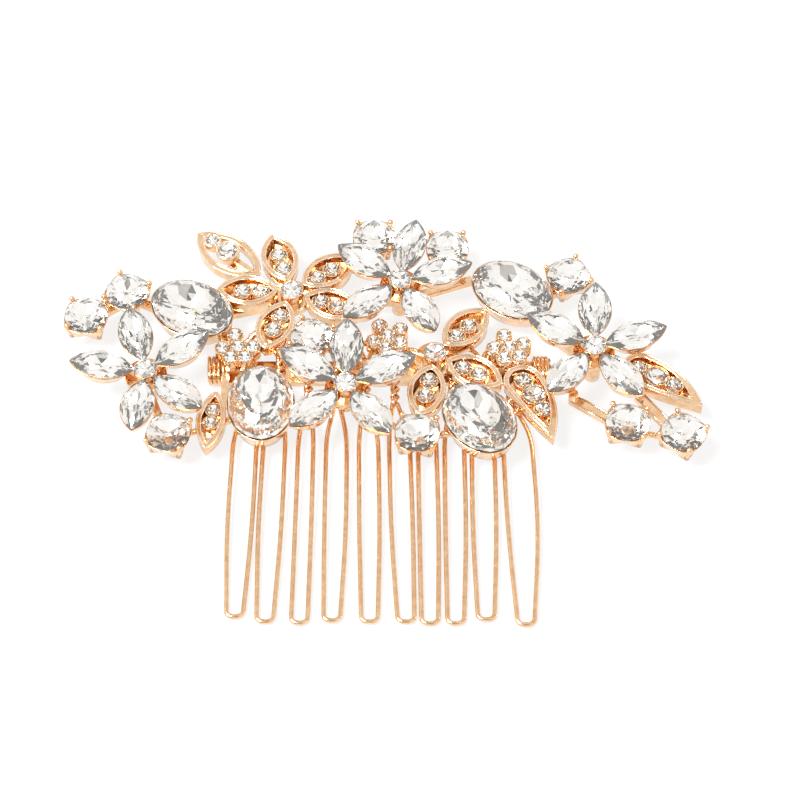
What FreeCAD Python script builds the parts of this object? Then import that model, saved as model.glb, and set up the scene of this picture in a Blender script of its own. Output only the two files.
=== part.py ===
import FreeCAD, Part
import math
import os
import Sketcher
from FreeCAD import Placement, Rotation, Vector

# Decorative hair comb: a row of ten hairpin wire tines bound to a flat spine, with a
# spray of stone-set flowers, leaves, ovals, rounds and clusters standing on it.
#
# Frame: the comb lies face up. +X runs along the spine, +Z points out of the face,
# and the tines point to -Y. The origin is the middle of the spine's underside.

doc = FreeCAD.newDocument("hair_comb")
sheet = doc.addObject("Spreadsheet::Sheet", "Sizes")

SIZES = [
    # comb: spine strip, hairpin tines, the arches between their stems, binding wire
    ("spine_length", 56.0),
    ("spine_width", 4.2),
    ("spine_thickness", 1.0),
    ("wire_radius", 0.4),
    ("stem_radius", 0.8),
    ("stem_above", 2.0),
    ("stem_below", 7.0),
    ("tine_pitch", 4.62),
    ("tine_length", 38.9),
    ("tine_tip_half_width", 1.25),
    ("shoulder_drop", 5.8),
    ("belly_drop", 22.8),
    ("binding_radius", 0.2),
    ("binding_pitch", 0.55),
    # level that every setting stands on, and the bars and posts behind it
    ("base_level", 2.6),
    ("bar_width", 1.2),
    ("bar_height", 1.2),
    ("post_radius", 1.3),
    ("stalk_width", 1.5),
    ("stalk_height", 1.1),
    # marquise flowers
    ("petal_length", 10.3),
    ("petal_width", 5.4),
    ("petal_reach", 7.2),
    ("petal_tilt", 5.0),
    ("petal_cup_depth", 2.2),
    ("petal_cup_taper", 1.5),
    ("flower_rise", 2.6),
    ("centre_stone_radius", 1.8),
    ("hub_radius", 3.3),
    ("hub_thickness", 1.0),
    # leaves
    ("leaf_length", 9.8),
    ("leaf_width", 5.8),
    ("leaf_reach", 7.2),
    ("leaf_depth", 2.3),
    ("leaf_floor", 0.8),
    ("leaf_wall", 0.6),
    ("leaf_stone_radius", 1.25),
    ("large_leaf_stone_radius", 1.7),
    ("seat_top", 1.9),
    ("seat_wall", 0.28),
    ("small_seat_depth", 0.6),
    # round stones in four-prong cups
    ("round_stone_radius", 3.5),
    ("round_cup_depth", 2.8),
    ("prong_radius", 0.32),
    ("prong_reach", 0.35),
    ("prong_rise", 0.57),
    ("prong_ball_radius", 0.52),
    # oval stones in smooth cups
    ("oval_half_length", 7.0),
    ("oval_half_width", 5.25),
    ("oval_cup_depth", 3.2),
    ("oval_cup_taper", 1.1),
    # clusters of small stones
    ("cluster_stone_radius", 1.12),
    ("cluster_circle_radius", 2.4),
    ("cluster_depth", 2.2),
    # fit between a stone and its cup, the cup's wall, how deep a stone sits, and how
    # high the girdle of a petal's or oval's stone stands above the rim of its cup
    ("stone_gap", 0.05),
    ("cup_wall", 0.3),
    ("seat_depth", 0.9),
    ("ledge_depth", 0.35),
    ("girdle_stand", 0.2),
]

for row, (alias, value) in enumerate(SIZES, start=1):
    sheet.set(f"A{row}", alias)
    sheet.set(f"B{row}", str(value))
    sheet.setAlias(f"B{row}", alias)
doc.recompute()


def size(alias):
    return float(sheet.get(alias))


# Where each setting stands (x, y) and how it is turned, in millimetres and degrees.
FLOWERS = {
    "left": (-37.2, -4.3, 0.0, (36, 106, 174, 263, 320)),
    "middle": (-5.5, -7.6, 1.0, (24, 89, 149, 225, 306)),
    "upper": (3.1, 13.5, 0.0, (14, 77, 147, 221, 298)),
    "right": (34.1, 0.3, 0.0, (16, 87, 151, 230, 305)),
}
LEAF_SPRAYS = {
    "leaf_flower": (-14.6, 13.4, (36, 107, 178, 250, 339)),
    "leaf_spray": (8.7, 0.9, (46, 331, 259)),
}
OVALS = {
    "left": (-30.6, 9.2, -30),
    "lower_left": (-18.9, -9.3, 94),
    "upper_right": (21.4, 13.0, -36),
    "lower_right": (15.6, -12.1, 122),
}
ROUNDS = [
    (-47.7, 8.1, 40),
    (-41.4, 12.9, 20),
    (-33.2, -14.6, 30),
    (-11.1, 3.85, 25),
    (-1.2, 24.2, 45),
    (10.9, 22.0, 45),
    (5.8, -14.6, 38),
    (30.7, 16.2, 70),
    (38.9, -12.7, 35),
    (47.5, -14.6, 10),
]
CLUSTERS = {
    "left": (-23.0, 2.4, (358, 102, 186, 243, 300)),
    "middle": (1.1, 4.5, (34, 123, 204, 263, 324)),
    "right": (20.6, 2.3, (15, 107, 185, 250, 311)),
}
# Tines from left to right: how far the belly and the tip lean from the stem, the
# belly's half width, and how much longer than the standard length the tine is.
TINES = [
    (-1.0, -1.2, 1.95, -0.9),
    (-0.9, -1.2, 1.8, 0.0),
    (-0.35, -0.6, 1.25, 0.2),
    (0.0, -0.3, 1.7, -0.2),
    (0.7, 0.8, 1.6, 0.0),
    (1.1, 1.7, 1.7, 0.0),
    (0.7, 0.7, 1.5, 0.3),
    (0.2, 0.0, 1.6, 0.3),
    (0.05, 0.0, 1.85, -0.4),
    (1.4, 1.4, 2.4, 0.5),
]

X_AXIS = Vector(1, 0, 0)
Y_AXIS = Vector(0, 1, 0)
Z_AXIS = Vector(0, 0, 1)
BASE = size("base_level")
FLOOR = -2 * size("binding_radius")
PRONG_COUNT = 4
STONE_LIFT = 0.08
subparts = []
leaf_stones = []


# ------------------------------------------------------------------- helpers

def new_body(label):
    body = doc.addObject("PartDesign::Body", label)
    body.Label = label
    subparts.append(body)
    return body


def plane_of(body, role):
    for feature in body.Origin.OriginFeatures:
        if feature.Role == role:
            return feature
    raise ValueError(role)


def add_sketch(body, name, geometry, offset=Placement(), role="XY_Plane"):
    sketch = body.newObject("Sketcher::SketchObject", name)
    sketch.AttachmentSupport = [(plane_of(body, role), "")]
    sketch.MapMode = "FlatFace"
    sketch.AttachmentOffset = offset
    sketch.addGeometry(geometry, False)
    return sketch


def add_circle(body, name, x, y, expression, radius, offset=Placement(), role="XY_Plane"):
    """A sketch of one circle whose radius follows an expression on the sheet."""
    sketch = add_sketch(body, name, [Part.Circle(Vector(x, y, 0), Z_AXIS, radius)], offset, role)
    sketch.addConstraint(Sketcher.Constraint("Radius", 0, radius))
    sketch.setExpression("Constraints[0]", expression)
    return sketch


def add_pad(body, sketch, name, expression, down=False):
    pad = body.newObject("PartDesign::Pad", name)
    pad.Profile = sketch
    pad.Reversed = down
    pad.setExpression("Length", expression)
    return pad


def add_pocket(body, sketch, name, expression):
    """A pocket cut down from the sketch, towards its own -Z."""
    pocket = body.newObject("PartDesign::Pocket", name)
    pocket.Profile = sketch
    pocket.setExpression("Length", expression)
    return pocket


def add_loft(body, lower, upper, name):
    loft = body.newObject("PartDesign::AdditiveLoft", name)
    loft.Profile = lower
    loft.Sections = [upper]
    loft.Ruled = True
    return loft


def add_revolution(body, name, points):
    """A profile of (radius, height) points turned about the body's Z axis."""
    corners = [Vector(r, z, 0) for r, z in points]
    lines = [Part.LineSegment(a, b) for a, b in zip(corners, corners[1:] + corners[:1])]
    sketch = add_sketch(body, name + "_profile", lines, role="XZ_Plane")
    turned = body.newObject("PartDesign::Revolution", name)
    turned.Profile = sketch
    turned.ReferenceAxis = (sketch, ["V_Axis"])
    turned.Angle = 360
    return turned


def add_feature(label, shape, placement=Placement()):
    feature = doc.addObject("Part::Feature", label)
    feature.Label = label
    feature.Shape = shape
    feature.Placement = placement
    subparts.append(feature)
    return feature


def level(height):
    return Placement(Vector(0, 0, height), Rotation())


def turned(angle, tilt=0.0):
    """The frame of a petal: turned about Z, then its outer end raised by tilt."""
    spin = Placement(Vector(), Rotation(Z_AXIS, angle))
    return spin * Placement(Vector(), Rotation(Y_AXIS, -tilt))


def stand(x, y, z=BASE, angle=0.0):
    return Placement(Vector(x, y, z), Rotation(Z_AXIS, angle))


# ------------------------------------------------------------------ outlines

def navette(length, width):
    """A pointed oval along X: two equal arcs that meet at its tips."""
    tip = Vector(length / 2, 0, 0)
    tail = Vector(-length / 2, 0, 0)
    side = Vector(0, width / 2, 0)
    return [Part.Arc(tip, side, tail), Part.Arc(tail, -side, tip)]


def inner_navette(length, width, wall):
    """Length and width of the navette that lies one wall inside another."""
    radius = (length**2 + width**2) / (4 * width)
    centre = radius - width / 2
    return 2 * math.sqrt((radius - wall) ** 2 - centre**2), width - 2 * wall


def ellipse(half_length, half_width):
    return [Part.Ellipse(Vector(half_length, 0, 0), Vector(0, half_width, 0), Vector())]


def broad_leaf(base, tip, full_side, lean_side):
    """A leaf along X with a round base, one full side and one nearly straight side."""
    shoulder = base + 2.4
    middle = (shoulder + tip) / 2
    full = Vector(shoulder, 0.86 * full_side, 0)
    lean = Vector(shoulder, -lean_side, 0)
    end = Vector(tip, 0, 0)
    return [
        Part.Arc(end, Vector(middle - 0.6, 0.9 * full_side, 0), full),
        Part.Arc(full, Vector(base, 0.2, 0), lean),
        Part.Arc(lean, Vector(middle, -0.62 * lean_side, 0), end),
    ]


# -------------------------------------------------------------------- stones

def facet(*points):
    return Part.Face(Part.makePolygon([*points, points[0]]))


def cut_stone(outline, crown, pavilion, table=0.56, sides=8, flat_kites=True):
    """A brilliant-cut stone with its girdle on Z = 0, as one solid of flat facets.

    outline(angle) gives a point of the girdle, and every ring is a scaled copy of it.
    """
    step = 360.0 / sides
    half_girdle = 0.06
    star = 0.80
    lower = 0.42
    slope = math.cos(math.radians(step / 2))

    def ring(scale, height, shift):
        points = []
        for index in range(sides):
            x, y = outline(math.radians(step * (index + shift)))
            points.append(Vector(scale * x, scale * y, height))
        return points

    star_height = half_girdle + (crown - half_girdle) * (1 - star * slope) / (1 - table)
    lower_height = -pavilion + (pavilion - half_girdle) * lower * slope
    tables = ring(table, crown, 0)
    stars = ring(star, star_height, 0.5)
    upper_mains = ring(1, half_girdle, 0)
    upper_halves = ring(1, half_girdle, 0.5)
    lower_mains = ring(1, -half_girdle, 0)
    lower_halves = ring(1, -half_girdle, 0.5)
    lower_stars = ring(lower, lower_height, 0.5)
    culet = Vector(0, 0, -pavilion)

    faces = [facet(*tables)]
    for i in range(sides):
        j = (i + 1) % sides
        faces.append(facet(tables[i], stars[i], tables[j]))
        if flat_kites:
            faces.append(facet(tables[i], stars[i - 1], upper_mains[i], stars[i]))
            faces.append(facet(culet, lower_stars[i - 1], lower_mains[i], lower_stars[i]))
        else:
            faces.append(facet(tables[i], stars[i - 1], stars[i]))
            faces.append(facet(stars[i - 1], upper_mains[i], stars[i]))
            faces.append(facet(culet, lower_stars[i - 1], lower_stars[i]))
            faces.append(facet(lower_stars[i - 1], lower_mains[i], lower_stars[i]))
        faces.append(facet(stars[i], upper_mains[i], upper_halves[i]))
        faces.append(facet(stars[i], upper_halves[i], upper_mains[j]))
        faces.append(facet(lower_stars[i], lower_mains[i], lower_halves[i]))
        faces.append(facet(lower_stars[i], lower_halves[i], lower_mains[j]))
        faces.append(facet(upper_mains[i], lower_mains[i], lower_halves[i], upper_halves[i]))
        faces.append(facet(upper_halves[i], lower_halves[i], lower_mains[j], upper_mains[j]))
    return solid_of(faces)


def single_cut_stone(radius, crown, pavilion, table=0.6, sides=8):
    """A small round stone: a table, eight crown facets, a girdle and eight below."""
    step = 2 * math.pi / sides
    half_girdle = 0.05

    def ring(scale, height):
        return [
            Vector(scale * radius * math.cos(step * i), scale * radius * math.sin(step * i), height)
            for i in range(sides)
        ]

    tables = ring(table, crown)
    upper = ring(1, half_girdle)
    lower = ring(1, -half_girdle)
    culet = Vector(0, 0, -pavilion)
    faces = [facet(*tables)]
    for i in range(sides):
        j = (i + 1) % sides
        faces.append(facet(tables[i], upper[i], upper[j], tables[j]))
        faces.append(facet(upper[i], lower[i], lower[j], upper[j]))
        faces.append(facet(lower[i], culet, lower[j]))
    return solid_of(faces)


def solid_of(faces):
    solid = Part.makeSolid(Part.makeShell(faces))
    if solid.Volume < 0:
        solid.reverse()
    return solid


def round_outline(radius):
    return lambda angle: (radius * math.cos(angle), radius * math.sin(angle))


def oval_outline(half_length, half_width):
    return lambda angle: (half_length * math.cos(angle), half_width * math.sin(angle))


def navette_outline(length, width):
    radius = (length**2 + width**2) / (4 * width)
    centre = radius - width / 2

    def point(angle):
        x = length / 2 * math.cos(angle)
        y = math.sqrt(radius**2 - x**2) - centre
        return x, math.copysign(max(y, 0.0), math.sin(angle))

    return point


def placed(solid, placement):
    copy = solid.copy()
    copy.Placement = placement
    return copy


# ------------------------------------------------------------ the wire comb

def rounded_path(points):
    """Straight runs joined by tangent arcs, each as large as its two runs allow."""
    edges = []
    start = points[0]
    for before, corner, after in zip(points, points[1:], points[2:]):
        into = (corner - before).normalize()
        out = (after - corner).normalize()
        turn = into.getAngle(out)
        cut = 0.45 * min((corner - before).Length, (after - corner).Length)
        arc_start = corner - into * cut
        arc_end = corner + out * cut
        radius = cut / math.tan(turn / 2)
        inward = (out - into).normalize()
        centre = corner + inward * math.hypot(radius, cut)
        edges.append(Part.LineSegment(start, arc_start))
        edges.append(Part.Arc(arc_start, centre - inward * radius, arc_end))
        start = arc_end
    edges.append(Part.LineSegment(start, points[-1]))
    return edges


def make_tine(number, belly_lean, tip_lean, belly_half, extra_length):
    """A hairpin of wire whose two legs close into one stem at the spine."""
    wire = size("wire_radius")
    stem = size("stem_radius")
    stem_level = size("spine_thickness") + stem
    below = size("stem_below")
    length = size("tine_length") + extra_length
    droop = math.degrees(math.asin((stem_level - wire - FLOOR) / length))
    overlap = 1.0
    shoulder_lean = 0.6 * belly_lean
    shoulder_half = 0.95 * belly_half
    tip_half = size("tine_tip_half_width")
    shoulder = -size("shoulder_drop")
    belly = -size("belly_drop")
    legs = Placement(Vector(0, -below, 0), Rotation(X_AXIS, droop))

    body = new_body(f"tine_{number:02d}")
    path_points = [
        Vector(-wire, overlap, 0),
        Vector(-wire, 0, 0),
        Vector(shoulder_lean - shoulder_half, shoulder, 0),
        Vector(belly_lean - belly_half, belly, 0),
        Vector(tip_lean - tip_half, -length + wire, 0),
        Vector(tip_lean + tip_half, -length + wire, 0),
        Vector(belly_lean + belly_half, belly, 0),
        Vector(shoulder_lean + shoulder_half, shoulder, 0),
        Vector(wire, 0, 0),
        Vector(wire, overlap, 0),
    ]
    path = add_sketch(body, "HairpinPath", rounded_path(path_points), legs)
    start = legs.multVec(path_points[0])
    section = add_circle(
        body, "WireSection", start.x, start.z, "Sizes.wire_radius", wire,
        Placement(Vector(0, 0, -start.y), Rotation()), "XZ_Plane",
    )
    pipe = body.newObject("PartDesign::AdditivePipe", "Hairpin")
    pipe.Profile = section
    pipe.Spine = (path, [])
    stem_section = add_circle(
        body, "StemSection", 0, 0, "Sizes.stem_radius", stem,
        Placement(Vector(0, 0, -size("stem_above")), Rotation()), "XZ_Plane",
    )
    add_pad(body, stem_section, "Stem", "Sizes.stem_above + Sizes.stem_below")
    body.Placement = stand((number - 5.5) * size("tine_pitch"), 0, stem_level)
    body.setExpression(".Placement.Base.x", f"({number} - 5.5) * Sizes.tine_pitch")
    body.setExpression(".Placement.Base.z", "Sizes.spine_thickness + Sizes.stem_radius")


def make_spine():
    body = new_body("comb_spine")
    half = size("spine_length") / 2
    side = size("spine_width") / 2
    end = half - side
    outline = [
        Part.LineSegment(Vector(-end, -side, 0), Vector(end, -side, 0)),
        Part.Arc(Vector(end, -side, 0), Vector(half, 0, 0), Vector(end, side, 0)),
        Part.LineSegment(Vector(end, side, 0), Vector(-end, side, 0)),
        Part.Arc(Vector(-end, side, 0), Vector(-half, 0, 0), Vector(-end, -side, 0)),
    ]
    sketch = add_sketch(body, "SpineOutline", outline)
    add_pad(body, sketch, "Strip", "Sizes.spine_thickness")


def make_arches():
    """Half rings of wire that carry the comb over from one stem to the next."""
    arches = []
    for index in range(len(TINES) - 1):
        arch = doc.addObject("Part::Torus", f"Arch{index + 1}")
        arch.setExpression("Radius1", "Sizes.tine_pitch / 2 - Sizes.wire_radius - 0.03")
        arch.setExpression("Radius2", "Sizes.wire_radius")
        arch.Angle3 = 180
        arch.setExpression(".Placement.Base.x", f"({index} - 4) * Sizes.tine_pitch")
        arch.setExpression(".Placement.Base.y", "Sizes.stem_above")
        arch.setExpression(".Placement.Base.z", "Sizes.spine_thickness + Sizes.stem_radius")
        arches.append(arch)
    group = doc.addObject("Part::Compound", "spine_arches")
    group.Links = arches
    subparts.append(group)


def make_binding(label, first_x, turns):
    """Turns of thin wire round the spine and the bar or stem that lies on it."""
    wire = size("binding_radius")
    clearance = 0.02
    half_width = size("spine_width") / 2 + wire + clearance
    shoulder = size("spine_thickness") + wire
    top = BASE + wire + clearance
    top_half = 0.75
    section_of_wrap = [
        Vector(0, 0, -wire),
        Vector(0, half_width, -wire),
        Vector(0, half_width, shoulder),
        Vector(0, top_half, top),
        Vector(0, -top_half, top),
        Vector(0, -half_width, shoulder),
        Vector(0, -half_width, -wire),
        Vector(0, 0, -wire),
    ]
    solids = []
    for index in range(turns):
        shift = Vector(first_x + index * size("binding_pitch"), 0, 0)
        points = [point + shift for point in section_of_wrap]
        circle = Part.Wire(Part.makeCircle(wire, points[0], Y_AXIS))
        solids.append(Part.makePolygon(points).makePipeShell([circle], True, False, 1))
    add_feature(label, Part.makeCompound(solids))


# --------------------------------------------------------------- the settings

def make_round_setting(number, x, y, angle):
    """A flared cup with a scalloped foot and four ball-tipped prongs."""
    radius = size("round_stone_radius")
    depth = size("round_cup_depth")
    wall = size("cup_wall")
    seat = depth - size("seat_depth")
    outer = radius + 2 * size("stone_gap")
    foot = outer - 0.9
    body = new_body(f"round_setting_{number:02d}")
    add_revolution(body, "Cup", [
        (0, 0), (foot, 0), (outer, seat), (outer, depth - 0.12),
        (outer - wall, depth - 0.12), (outer - wall, seat), (1.2, seat - 1.3), (0, seat - 1.3),
    ])
    reach = radius + size("prong_reach")
    prong_section = add_circle(
        body, "ProngSection", reach, 0, "Sizes.prong_radius", size("prong_radius"))
    prong = add_pad(body, prong_section, "Prong", "Sizes.round_cup_depth + Sizes.prong_rise")
    pattern = body.newObject("PartDesign::PolarPattern", "Prongs")
    pattern.Originals = [prong]
    pattern.Axis = (prong_section, ["N_Axis"])
    pattern.Angle = 360
    pattern.Occurrences = PRONG_COUNT
    body.Tip = pattern
    for index in range(PRONG_COUNT):
        ball = body.newObject("PartDesign::AdditiveSphere", f"ProngBall{index + 1}")
        ball.setExpression("Radius", "Sizes.prong_ball_radius")
        ball.AttachmentSupport = [(plane_of(body, "XY_Plane"), "")]
        ball.MapMode = "FlatFace"
        ball.AttachmentOffset = turned(index * 360 / PRONG_COUNT) * Placement(
            Vector(reach, 0, depth + size("prong_rise")), Rotation())
    body.Placement = stand(x, y, BASE, angle)
    body.setExpression(".Placement.Base.z", "Sizes.base_level")


def make_round_stones():
    radius = size("round_stone_radius")
    stone = cut_stone(round_outline(radius), 1.45, size("seat_depth"))
    girdle = size("round_cup_depth") + STONE_LIFT
    stones = [
        placed(stone, stand(x, y, BASE + girdle, angle + 22.5)) for x, y, angle in ROUNDS
    ]
    add_feature("round_stones", Part.makeCompound(stones))


def make_oval(name, x, y, angle):
    gap = size("stone_gap")
    wall = size("cup_wall")
    taper = size("oval_cup_taper")
    depth = size("oval_cup_depth")
    half_length = size("oval_half_length") + gap
    half_width = size("oval_half_width") + gap
    body = new_body(f"oval_setting_{name}")
    lower = add_sketch(body, "Foot", ellipse(half_length - taper, half_width - taper))
    upper = add_sketch(body, "Rim", ellipse(half_length, half_width), level(depth))
    add_loft(body, lower, upper, "Cup")
    opening = add_sketch(body, "Opening", ellipse(half_length - wall, half_width - wall), level(depth))
    add_pocket(body, opening, "Ledge", "Sizes.ledge_depth")
    throat = add_sketch(body, "Throat", ellipse(0.8 * half_length, 0.8 * half_width), level(depth))
    add_pocket(body, throat, "Recess", "Sizes.seat_depth + 0.2")
    body.Placement = stand(x, y, BASE, angle)
    body.setExpression(".Placement.Base.z", "Sizes.base_level")

    outline = oval_outline(size("oval_half_length"), size("oval_half_width"))
    stone = cut_stone(outline, 2.3, size("seat_depth"), table=0.5, sides=10)
    girdle = level(depth + size("girdle_stand"))
    add_feature(f"oval_stone_{name}", stone, stand(x, y, BASE, angle) * girdle)


def add_petal_cup(body, name, frame, length, width, depth, taper, wall):
    """One pointed cup, narrower at its foot, open at the top."""
    lower = add_sketch(body, name + "Foot", navette(length - 2 * taper, width - taper), frame)
    upper = add_sketch(body, name + "Rim", navette(length, width), frame * level(depth))
    add_loft(body, lower, upper, name + "Cup")
    return frame * level(depth), inner_navette(length, width, wall)


def make_flower(name, x, y, lift, angles):
    """Five pointed cups on a hub, each raised at its outer end, round a centre cup."""
    rise = size("flower_rise") + lift
    depth = size("petal_cup_depth")
    wall = size("cup_wall")
    gap = size("stone_gap")
    reach = size("petal_reach")
    stone_length = size("petal_length")
    stone_width = size("petal_width")
    rim_width = stone_width + 2 * gap
    rim_length = stone_length + 4 * gap
    body = new_body(f"flower_setting_{name}")
    post = add_circle(body, "PostSection", 0, 0, "Sizes.post_radius", size("post_radius"))
    add_pad(body, post, "Post", f"Sizes.flower_rise + {lift}")
    hub = add_circle(body, "HubSection", 0, 0, "Sizes.hub_radius", size("hub_radius"), level(rise))
    add_pad(body, hub, "Hub", "Sizes.hub_thickness")
    openings = []
    for number, angle in enumerate(angles, start=1):
        frame = level(rise) * turned(angle, size("petal_tilt")) * Placement(
            Vector(reach, 0, 0), Rotation())
        openings.append(add_petal_cup(
            body, f"Petal{number}", frame, rim_length, rim_width, depth,
            size("petal_cup_taper"), wall))
    for number, (top, (inner_length, inner_width)) in enumerate(openings, start=1):
        mouth = add_sketch(body, f"Petal{number}Mouth", navette(inner_length, inner_width), top)
        add_pocket(body, mouth, f"Petal{number}Ledge", "Sizes.ledge_depth")
        throat = navette(0.8 * inner_length, 0.75 * inner_width)
        recess = add_sketch(body, f"Petal{number}Throat", throat, top)
        add_pocket(body, recess, f"Petal{number}Recess", "Sizes.seat_depth + 0.1")
    add_centre_cup(body, rise, "Sizes.petal_cup_depth + 0.6", depth + 0.6)
    body.Placement = stand(x, y)
    body.setExpression(".Placement.Base.z", "Sizes.base_level")

    stone = cut_stone(
        navette_outline(stone_length, stone_width), 1.35, size("seat_depth"), 0.52, 8, False)
    stones = []
    for angle in angles:
        frame = level(rise) * turned(angle, size("petal_tilt"))
        seat = Placement(Vector(reach, 0, depth + size("girdle_stand")), Rotation())
        stones.append(placed(stone, frame * seat))
    add_feature(f"petal_stones_{name}", Part.makeCompound(stones), stand(x, y))


def add_seats(body, spots):
    """Small round cups on the floor of a leaf, each with a recess for its stone."""
    floor = size("leaf_floor") / 2
    wall = size("seat_wall")
    for number, (x, y, stone_radius) in enumerate(spots, start=1):
        outer = Part.Circle(Vector(x, y, 0), Z_AXIS, stone_radius + wall)
        sketch = add_sketch(body, f"Seat{number}Section", [outer], level(floor))
        add_pad(body, sketch, f"Seat{number}", f"Sizes.seat_top - {floor}")
        mouth = Part.Circle(Vector(x, y, 0), Z_AXIS, stone_radius + size("stone_gap"))
        sketch = add_sketch(body, f"Seat{number}Mouth", [mouth], level(size("seat_top")))
        add_pocket(body, sketch, f"Seat{number}Recess", "Sizes.small_seat_depth")


def add_centre_cup(body, rise, height_expression, height):
    """The raised cup in the middle of a flower or leaf spray."""
    radius = size("centre_stone_radius") + size("stone_gap")
    cup = add_circle(
        body, "CentreSection", 0, 0, "Sizes.centre_stone_radius + Sizes.stone_gap",
        radius, level(rise))
    add_pad(body, cup, "CentreCup", height_expression)
    mouth_radius = radius - 0.2
    mouth = add_circle(
        body, "CentreMouth", 0, 0, "Sizes.centre_stone_radius + Sizes.stone_gap - 0.2",
        mouth_radius, level(rise + height))
    add_pocket(body, mouth, "CentreRecess", "0.7")


def make_leaf_spray(label, x, y, angles):
    """Flat open-topped leaves round a centre cup, each with two stone seats."""
    depth = size("leaf_depth")
    length = size("leaf_length")
    width = size("leaf_width")
    reach = size("leaf_reach")
    body = new_body(label)
    hub = add_circle(body, "HubSection", 0, 0, "Sizes.hub_radius", size("hub_radius"))
    add_pad(body, hub, "Hub", "Sizes.leaf_floor")
    inner_length, inner_width = inner_navette(length, width, size("leaf_wall"))
    for number, angle in enumerate(angles, start=1):
        frame = turned(angle) * Placement(Vector(reach, 0, 0), Rotation())
        sketch = add_sketch(body, f"Leaf{number}Section", navette(length, width), frame)
        add_pad(body, sketch, f"Leaf{number}", "Sizes.leaf_depth")
    for number, angle in enumerate(angles, start=1):
        frame = turned(angle) * Placement(Vector(reach, 0, depth), Rotation())
        sketch = add_sketch(body, f"Leaf{number}Mouth", navette(inner_length, inner_width), frame)
        add_pocket(body, sketch, f"Leaf{number}Recess", "Sizes.leaf_depth - Sizes.leaf_floor")
    spots = []
    for angle in map(math.radians, angles):
        for distance in LEAF_STONE_REACHES:
            x_y = (distance * math.cos(angle), distance * math.sin(angle))
            spots.append((*x_y, size("leaf_stone_radius")))
    add_seats(body, spots)
    add_centre_cup(body, 0, "Sizes.leaf_depth + 0.2", depth + 0.2)
    body.Placement = stand(x, y)
    body.setExpression(".Placement.Base.z", "Sizes.base_level")
    set_leaf_stones(spots, stand(x, y))


def set_leaf_stones(spots, leaf):
    """Cut the stones for the seats of one leaf and keep them for the leaf_stones node."""
    for x, y, radius in spots:
        stone = single_cut_stone(radius, 0.42 * radius, size("small_seat_depth") - 0.08)
        leaf_stones.append(placed(stone, leaf * stand(x, y, size("seat_top") + 0.06)))


def make_single_leaf(label, x, y, angle, outline, inner, spots):
    """One leaf with a floor, a thin raised rim and a row of stone seats."""
    body = new_body(label)
    sketch = add_sketch(body, "Leaf", outline)
    add_pad(body, sketch, "Block", "Sizes.leaf_depth")
    mouth = add_sketch(body, "Mouth", inner, level(size("leaf_depth")))
    add_pocket(body, mouth, "Recess", "Sizes.leaf_depth - Sizes.leaf_floor")
    add_seats(body, spots)
    body.Placement = stand(x, y, BASE, angle)
    body.setExpression(".Placement.Base.z", "Sizes.base_level")
    set_leaf_stones(spots, stand(x, y, BASE, angle))


def make_open_leaf(label, x, y, angle, length, width, spots):
    """A leaf with no floor: a rim, a midrib and two seats that stand on the midrib."""
    wall = 1.4 * size("leaf_wall")
    body = new_body(label)
    rim = add_sketch(body, "Rim", navette(length, width))
    add_pad(body, rim, "Block", "Sizes.seat_top")
    hole = navette(*inner_navette(length, width, wall))
    inner = add_sketch(body, "Mouth", hole, level(size("seat_top")))
    add_pocket(body, inner, "Through", "Sizes.seat_top")
    rib_half = 0.45
    rib_y = spots[0][1]
    left = 2 - length / 2
    right = length / 2 - 1.5
    corners = [
        Vector(left, rib_y - rib_half, 0), Vector(right, rib_y - rib_half, 0),
        Vector(right, rib_y + rib_half, 0), Vector(left, rib_y + rib_half, 0),
    ]
    edges = [Part.LineSegment(a, b) for a, b in zip(corners, corners[1:] + corners[:1])]
    rib = add_sketch(body, "MidribSection", edges)
    add_pad(body, rib, "Midrib", "Sizes.leaf_floor")
    add_seats(body, spots)
    body.Placement = stand(x, y, BASE, angle)
    body.setExpression(".Placement.Base.z", "Sizes.base_level")
    set_leaf_stones(spots, stand(x, y, BASE, angle))


def make_cluster(name, x, y, angles):
    """Five small cups round a sixth, on one plate."""
    circle = size("cluster_circle_radius")
    radius = size("cluster_stone_radius")
    depth = size("cluster_depth")
    body = new_body(f"cluster_setting_{name}")
    plate = add_circle(
        body, "PlateSection", 0, 0, "Sizes.cluster_circle_radius", size("cluster_circle_radius"))
    add_pad(body, plate, "Plate", "Sizes.leaf_floor")
    spots = [(0.0, 0.0)]
    for angle in map(math.radians, angles):
        spots.append((circle * math.cos(angle), circle * math.sin(angle)))
    for number, (cup_x, cup_y) in enumerate(spots, start=1):
        cup = add_circle(
            body, f"Cup{number}Section", cup_x, cup_y,
            "Sizes.cluster_stone_radius + Sizes.stone_gap + 0.15",
            radius + size("stone_gap") + 0.15)
        add_pad(body, cup, f"Cup{number}", "Sizes.cluster_depth")
    for number, (cup_x, cup_y) in enumerate(spots, start=1):
        mouth = add_circle(
            body, f"Cup{number}Mouth", cup_x, cup_y,
            "Sizes.cluster_stone_radius + Sizes.stone_gap",
            radius + size("stone_gap"), level(depth))
        add_pocket(body, mouth, f"Cup{number}Recess", "Sizes.small_seat_depth")
    body.Placement = stand(x, y)
    body.setExpression(".Placement.Base.z", "Sizes.base_level")
    stones = []
    stone = single_cut_stone(radius, 0.5 * radius, size("small_seat_depth") - 0.08)
    for cup_x, cup_y in spots:
        stones.append(placed(stone, Placement(Vector(cup_x, cup_y, depth + 0.06), Rotation())))
    add_feature(f"cluster_stones_{name}", Part.makeCompound(stones), stand(x, y))


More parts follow.
